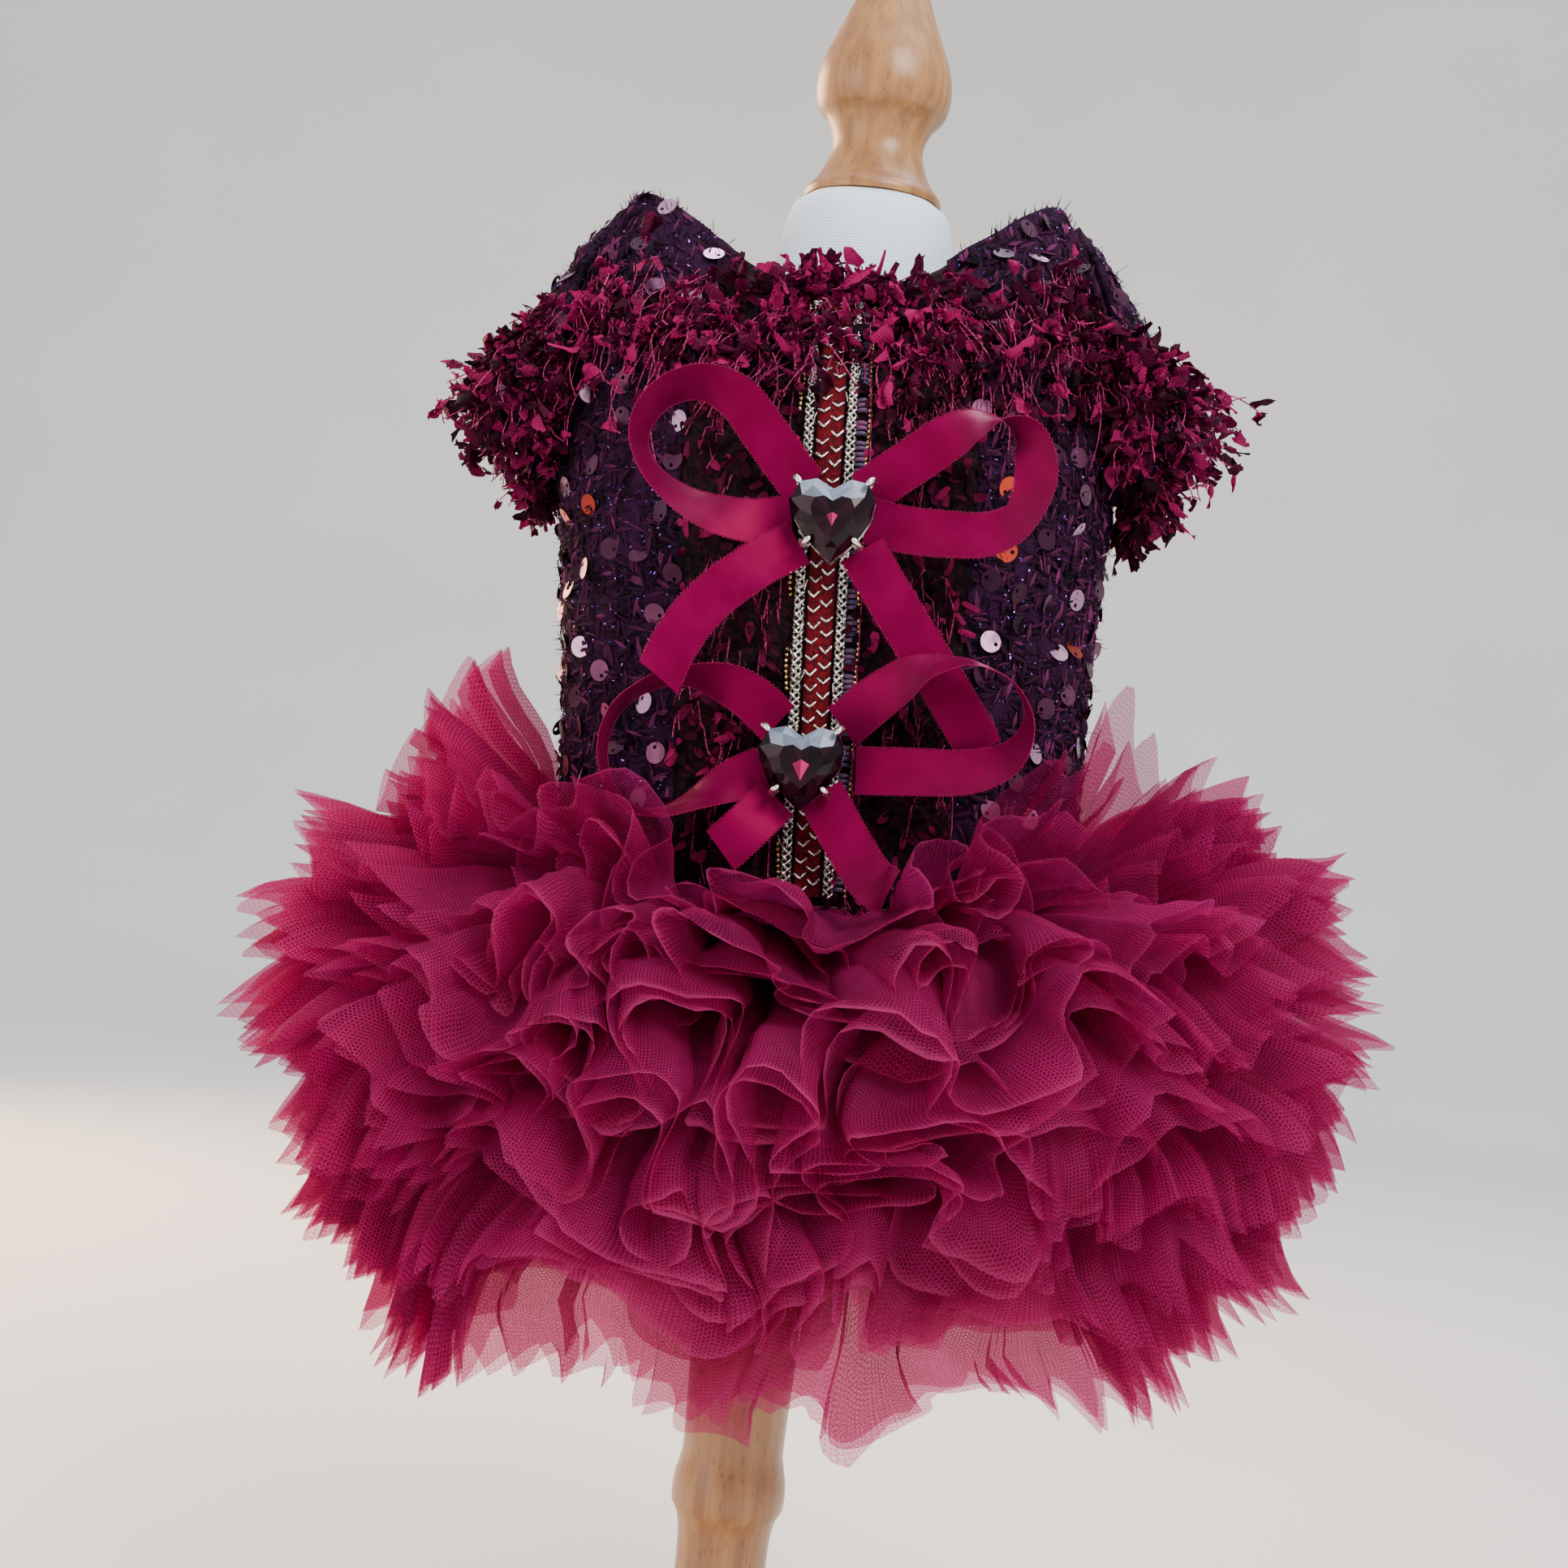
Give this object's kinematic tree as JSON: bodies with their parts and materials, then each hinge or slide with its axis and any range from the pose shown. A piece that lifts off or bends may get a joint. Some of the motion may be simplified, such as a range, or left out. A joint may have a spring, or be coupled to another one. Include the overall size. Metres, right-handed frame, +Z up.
{
  "type": "dog tutu dress on a limbless dress form",
  "caption": "Sleeved tweed dress for a small dog, with a fringed neckline, ribbon bows with heart stones and a gathered tulle skirt, standing on a padded dress form with a turned wooden pole.",
  "frame": {"origin": "centre of the underside of the dress form's round foot", "axes": "+Z up along the form's pole, -Y out of the dress's front with the bows, +X to the right of someone who faces that front"},
  "size_m": [0.2595, 0.2131, 0.455],
  "materials": {
    "beech": "clear satin varnish",
    "white_jersey": "matte knitted cotton",
    "plum_tweed": "boucle tweed with lurex and sewn disc sequins",
    "dark_yarn_cloth": "dark boucle with burgundy ladder yarn",
    "ladder_yarn": "eyelash and ladder yarn fringe",
    "red_velvet": "velvet ribbon",
    "silver_chain": "metallised braid",
    "satin_ribbon": "polyester satin",
    "plum_crystal": "faceted, foil backed",
    "silver_metal": "bright plated",
    "burgundy_tulle": "soft hexagonal net"
  },
  "bodies": {
    "root": {"form_foot": "beech", "form_pole": "beech", "form_finial": "beech", "form_body": "white_jersey", "front_centre": "dark_yarn_cloth", "side_front_right": "plum_tweed", "side_front_left": "plum_tweed", "back_right": "plum_tweed", "back_left": "plum_tweed", "sleeve_right": "plum_tweed", "sleeve_left": "plum_tweed", "fringe_front": "ladder_yarn", "fringe_right": "ladder_yarn", "fringe_left": "ladder_yarn", "trim_band": "red_velvet", "trim_chain_left": "silver_chain", "trim_chain_right": "silver_chain", "bow_upper_loop_left": "satin_ribbon", "bow_upper_loop_right": "satin_ribbon", "bow_upper_tail_left": "satin_ribbon", "bow_upper_tail_right": "satin_ribbon", "bow_lower_loop_left": "satin_ribbon", "bow_lower_loop_right": "satin_ribbon", "bow_lower_tail_left": "satin_ribbon", "bow_lower_tail_right": "satin_ribbon", "stone_upper": "plum_crystal", "stone_lower": "plum_crystal", "claws_upper": "silver_metal", "claws_lower": "silver_metal", "skirt_yoke": "burgundy_tulle", "skirt_tier_1": "burgundy_tulle", "skirt_tier_2": "burgundy_tulle", "skirt_tier_3": "burgundy_tulle", "skirt_tier_4": "burgundy_tulle", "skirt_tier_5": "burgundy_tulle", "skirt_tier_6": "burgundy_tulle", "skirt_tier_7": "burgundy_tulle"}
  },
  "joints": []
}
